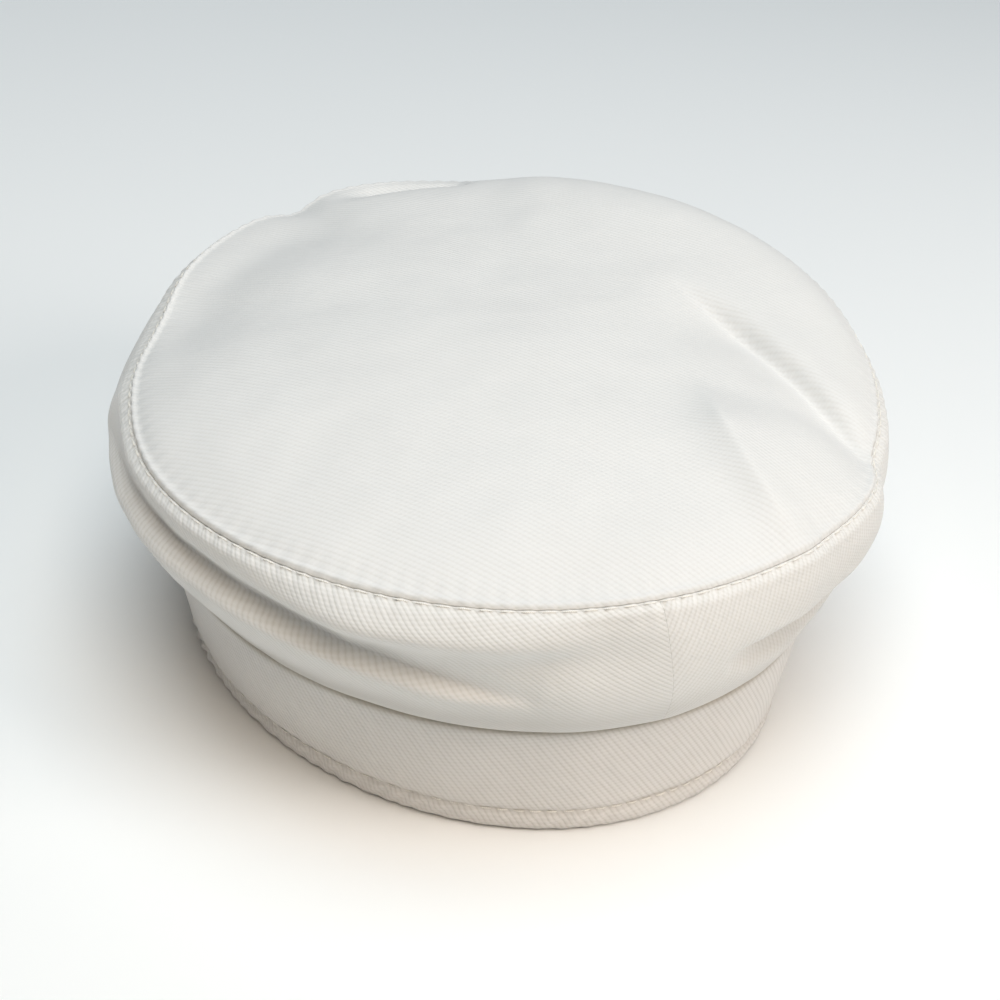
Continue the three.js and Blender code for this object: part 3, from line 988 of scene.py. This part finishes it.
RIB_WANDER = 0.5  # mm
RIB_DEPTH = 0.16  # mm, from the top of a rib into the gap beside it
CRUMPLE_DEPTH = 0.8  # mm
RUN_SHARE = 0.22  # how much a yarn's runs, thick places and fuzz stand out, against its rib
SLUB_SHARE = 0.9
FUZZ_SHARE = 0.5
SLUB_STRETCH = (0.74, 0.14, 1.0)


def cotton_twill(name, rib_colour, gap_painted_shade_colour, painted_shade_colour, relief):
    """Matt cotton twill: rounded slanting ribs of short yarn runs, soft light-catching fuzz."""
    material = bpy.data.materials.new(name)
    material.use_nodes = True
    tree = material.node_tree
    shader = tree.nodes["Principled BSDF"]
    cut = node(tree, "ShaderNodeUVMap", uv_map="cut").outputs["UV"]
    body = node(tree, "ShaderNodeTexCoord").outputs["Object"]
    # Yarns are never quite even, so the ribs wander by a little.
    wander = node(tree, "ShaderNodeTexNoise", {"Vector": cut, "Scale": 0.05, "Detail": 1.0})
    parts = node(tree, "ShaderNodeSeparateXYZ", {"Vector": cut})
    across = node(tree, "ShaderNodeMath", {
        VALUE: wander.outputs["Fac"], TIMES: RIB_WANDER, PLUS: parts.outputs["X"],
    }, operation="MULTIPLY_ADD").outputs[0]
    turned = node(tree, "ShaderNodeMath", {
        VALUE: across, TIMES: math.pi / TWILL_PITCH}, operation="MULTIPLY").outputs[0]
    wave = node(tree, "ShaderNodeMath", {VALUE: turned}, operation="SINE").outputs[0]
    rib = node(tree, "ShaderNodeMath", {VALUE: wave}, operation="ABSOLUTE").outputs[0]
    # Along a rib, each yarn shows in short runs, set a little further on from rib to rib.
    run = node(tree, "ShaderNodeMath", {
        VALUE: parts.outputs["Y"], TIMES: 2 * math.pi / FLOAT_LENGTH, PLUS: turned,
    }, operation="MULTIPLY_ADD").outputs[0]
    runs = node(tree, "ShaderNodeMath", {VALUE: run}, operation="SINE").outputs[0]
    fuzz = node(tree, "ShaderNodeTexNoise", {"Vector": cut, "Scale": 1.6, "Detail": 3.0})
    # Spun yarn has thick and thin places that run along the ribs.
    drawn = node(tree, "ShaderNodeMapping", {"Vector": cut, "Scale": SLUB_STRETCH}).outputs[0]
    slub = node(tree, "ShaderNodeTexNoise", {"Vector": drawn, "Scale": 1.0, "Detail": 2.0})
    broken = node(tree, "ShaderNodeMath", {
        VALUE: runs, TIMES: RUN_SHARE, PLUS: rib}, operation="MULTIPLY_ADD").outputs[0]
    yarn = node(tree, "ShaderNodeMath", {
        VALUE: slub.outputs["Fac"], TIMES: SLUB_SHARE, PLUS: broken,
    }, operation="MULTIPLY_ADD").outputs[0]
    height = node(tree, "ShaderNodeMath", {
        VALUE: fuzz.outputs["Fac"], TIMES: FUZZ_SHARE, PLUS: yarn,
    }, operation="MULTIPLY_ADD").outputs[0]
    weave = node(tree, "ShaderNodeBump", {
        "Strength": relief, "Distance": RIB_DEPTH * MM, "Height": height})
    # Handling leaves shallow crumples a centimetre or two across.
    crumple = node(tree, "ShaderNodeTexNoise", {"Vector": body, "Scale": 55.0, "Detail": 2.5})
    worn = node(tree, "ShaderNodeBump", {
        "Strength": 0.35, "Distance": CRUMPLE_DEPTH * MM, "Height": crumple.outputs["Fac"],
        "Normal": weave.outputs["Normal"]})
    tree.links.new(worn.outputs["Normal"], shader.inputs["Normal"])
    # Painted shade: the gaps between the ribs are coloured a shade darker than their tops.
    gap_painted_shade = node(tree, "ShaderNodeMapRange", {
        "Value": yarn, "From Min": 0.2, "From Max": 1.4, "To Min": 1.0, "To Max": 0.0})
    cloth = node(tree, "ShaderNodeMix", {
        MIX_SHARE: gap_painted_shade.outputs[0], MIX_FROM: linear(rib_colour), MIX_TO: linear(gap_painted_shade_colour),
    }, data_type="RGBA")
    # Unbleached cotton is faintly uneven in tone.
    patches = node(tree, "ShaderNodeTexNoise", {"Vector": body, "Scale": 24.0, "Detail": 4.0})
    tone = node(tree, "ShaderNodeMapRange", {
        "Value": patches.outputs["Fac"], "From Min": 0.3, "From Max": 0.7, "To Min": 0.965,
        "To Max": 1.0})
    toned = node(tree, "ShaderNodeMix", {
        MIX_SHARE: 1.0, MIX_FROM: cloth.outputs[MIX_COLOUR], MIX_TO: tone.outputs[0],
    }, data_type="RGBA", blend_type="MULTIPLY")
    # Painted shade: the share in the 'seam' attribute greys the cloth in seams and stitch grooves,
    # under the side panels' overhang and low on the side panels.
    seam = node(tree, "ShaderNodeAttribute", attribute_name="seam").outputs["Fac"]
    shaded = node(tree, "ShaderNodeMix", {
        MIX_SHARE: seam, MIX_FROM: toned.outputs[MIX_COLOUR], MIX_TO: linear(painted_shade_colour),
    }, data_type="RGBA")
    tree.links.new(shaded.outputs[MIX_COLOUR], shader.inputs["Base Color"])
    shader.inputs["Roughness"].default_value = 0.88
    shader.inputs["Specular IOR Level"].default_value = 0.25
    shader.inputs["Sheen Weight"].default_value = 0.25
    shader.inputs["Sheen Roughness"].default_value = 0.45
    return material


PLY_DEPTH = 0.08  # mm, between the two plies of the thread


def cotton_thread():
    """Spun sewing thread: two plies twisted together, a little smoother than the cloth."""
    material = bpy.data.materials.new("cotton_thread")
    material.use_nodes = True
    tree = material.node_tree
    shader = tree.nodes["Principled BSDF"]
    body = node(tree, "ShaderNodeTexCoord").outputs["Object"]
    plies = node(tree, "ShaderNodeTexWave", {"Vector": body, "Scale": 700.0, "Distortion": 1.0})
    twist = node(tree, "ShaderNodeBump", {
        "Strength": 0.5, "Distance": PLY_DEPTH * MM, "Height": plies.outputs["Fac"]})
    tree.links.new(twist.outputs["Normal"], shader.inputs["Normal"])
    # Painted shade: the grooves between the plies are coloured darker than their tops.
    colour = node(tree, "ShaderNodeMix", {
        MIX_SHARE: plies.outputs["Fac"], MIX_FROM: linear("#E6E1D6"), MIX_TO: linear("#F2EFE8"),
    }, data_type="RGBA")
    tree.links.new(colour.outputs[MIX_COLOUR], shader.inputs["Base Color"])
    shader.inputs["Roughness"].default_value = 0.6
    return material


# ---- Making the cap ----


def dress(piece, material, replaced=None):
    """Gives a piece its cloth and its body, and hides the plain panel it stands for."""
    piece.data.materials.clear()
    piece.data.materials.append(material)
    if replaced:
        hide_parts(replaced)
    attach(piece, "root")


# One cloth: the top is ironed flatter and the band has the deepest ribs. Each twill's gap colour and
# painted shade colour are painted shade, darkest on the band.
top_twill = cotton_twill(
    "ivory_cotton_twill_top", "#E6E5E2", "#E0DEDA", "#CBC3B4", relief=0.38)
side_twill = cotton_twill(
    "ivory_cotton_twill_side", "#E7E5E1", "#DAD7D0", "#B9B4AC", relief=0.55)
band_twill = cotton_twill(
    "ivory_cotton_twill_band", "#E6E2DD", "#D6D1CA", "#A89D8B", relief=0.7)
thread = cotton_thread()

dress(top_panel(), top_twill, replaced="top_panel")
left = side_panel("crown_side_left", 0, FRONT, LEFT_RIB_ANGLE)
dress(left, side_twill, replaced="side_panel_left")
right = side_panel("crown_side_right", FRONT, FULL_TURN, RIGHT_RIB_ANGLE)
dress(right, side_twill, replaced="side_panel_right")
dress(band(), band_twill, replaced="band")
front, stitched = peak()
dress(front, band_twill, replaced="peak")
dress(crown_stitches(), thread)
dress(hem_stitches(), thread)
dress(peak_stitches(stitched), thread)

# ---- Floor and light ----


def add_floor():
    bpy.ops.object.select_all(action="DESELECT")
    bpy.ops.mesh.primitive_plane_add(size=8)
    floor = bpy.context.object
    floor.name = "floor"
    material = bpy.data.materials.new("matt_white_paper")
    material.use_nodes = True
    shader = material.node_tree.nodes["Principled BSDF"]
    shader.inputs["Base Color"].default_value = linear("#F7F7F5")
    shader.inputs["Roughness"].default_value = 0.9
    shader.inputs["Specular IOR Level"].default_value = 0.1
    floor.data.materials.append(material)


def add_lamp(name, bearing, height, distance, size, power, colour):
    """A square lamp facing the head opening: degrees round and up, metres away, and watts."""
    toward = place(bearing, math.cos(math.radians(height)), math.sin(math.radians(height)))
    turned = toward.to_track_quat("Z", "Y").to_euler()
    bpy.ops.object.light_add(type="AREA", location=HEAD + distance * toward, rotation=turned)
    lamp = bpy.context.object
    lamp.name = name
    lamp.data.size = size
    lamp.data.energy = power
    lamp.data.color = linear(colour)[:3]


add_floor()
add_lamp("key_lamp", bearing=320, height=35, distance=1.3, size=0.5, power=5.9, colour="#FFF5EE")
add_lamp("top_lamp", bearing=0, height=88, distance=2.2, size=1.7, power=30.2, colour="#DDF1FF")
add_lamp("back_lamp", bearing=28, height=60, distance=1.8, size=1.2, power=16.1, colour="#FFEFDD")

world = bpy.data.worlds.new("studio")
world.use_nodes = True
sky = world.node_tree.nodes["Background"]
sky.inputs["Color"].default_value = linear("#C4E2FF")
sky.inputs["Strength"].default_value = 0.04
bpy.context.scene.world = world
bpy.context.scene.view_settings.view_transform = "Standard"
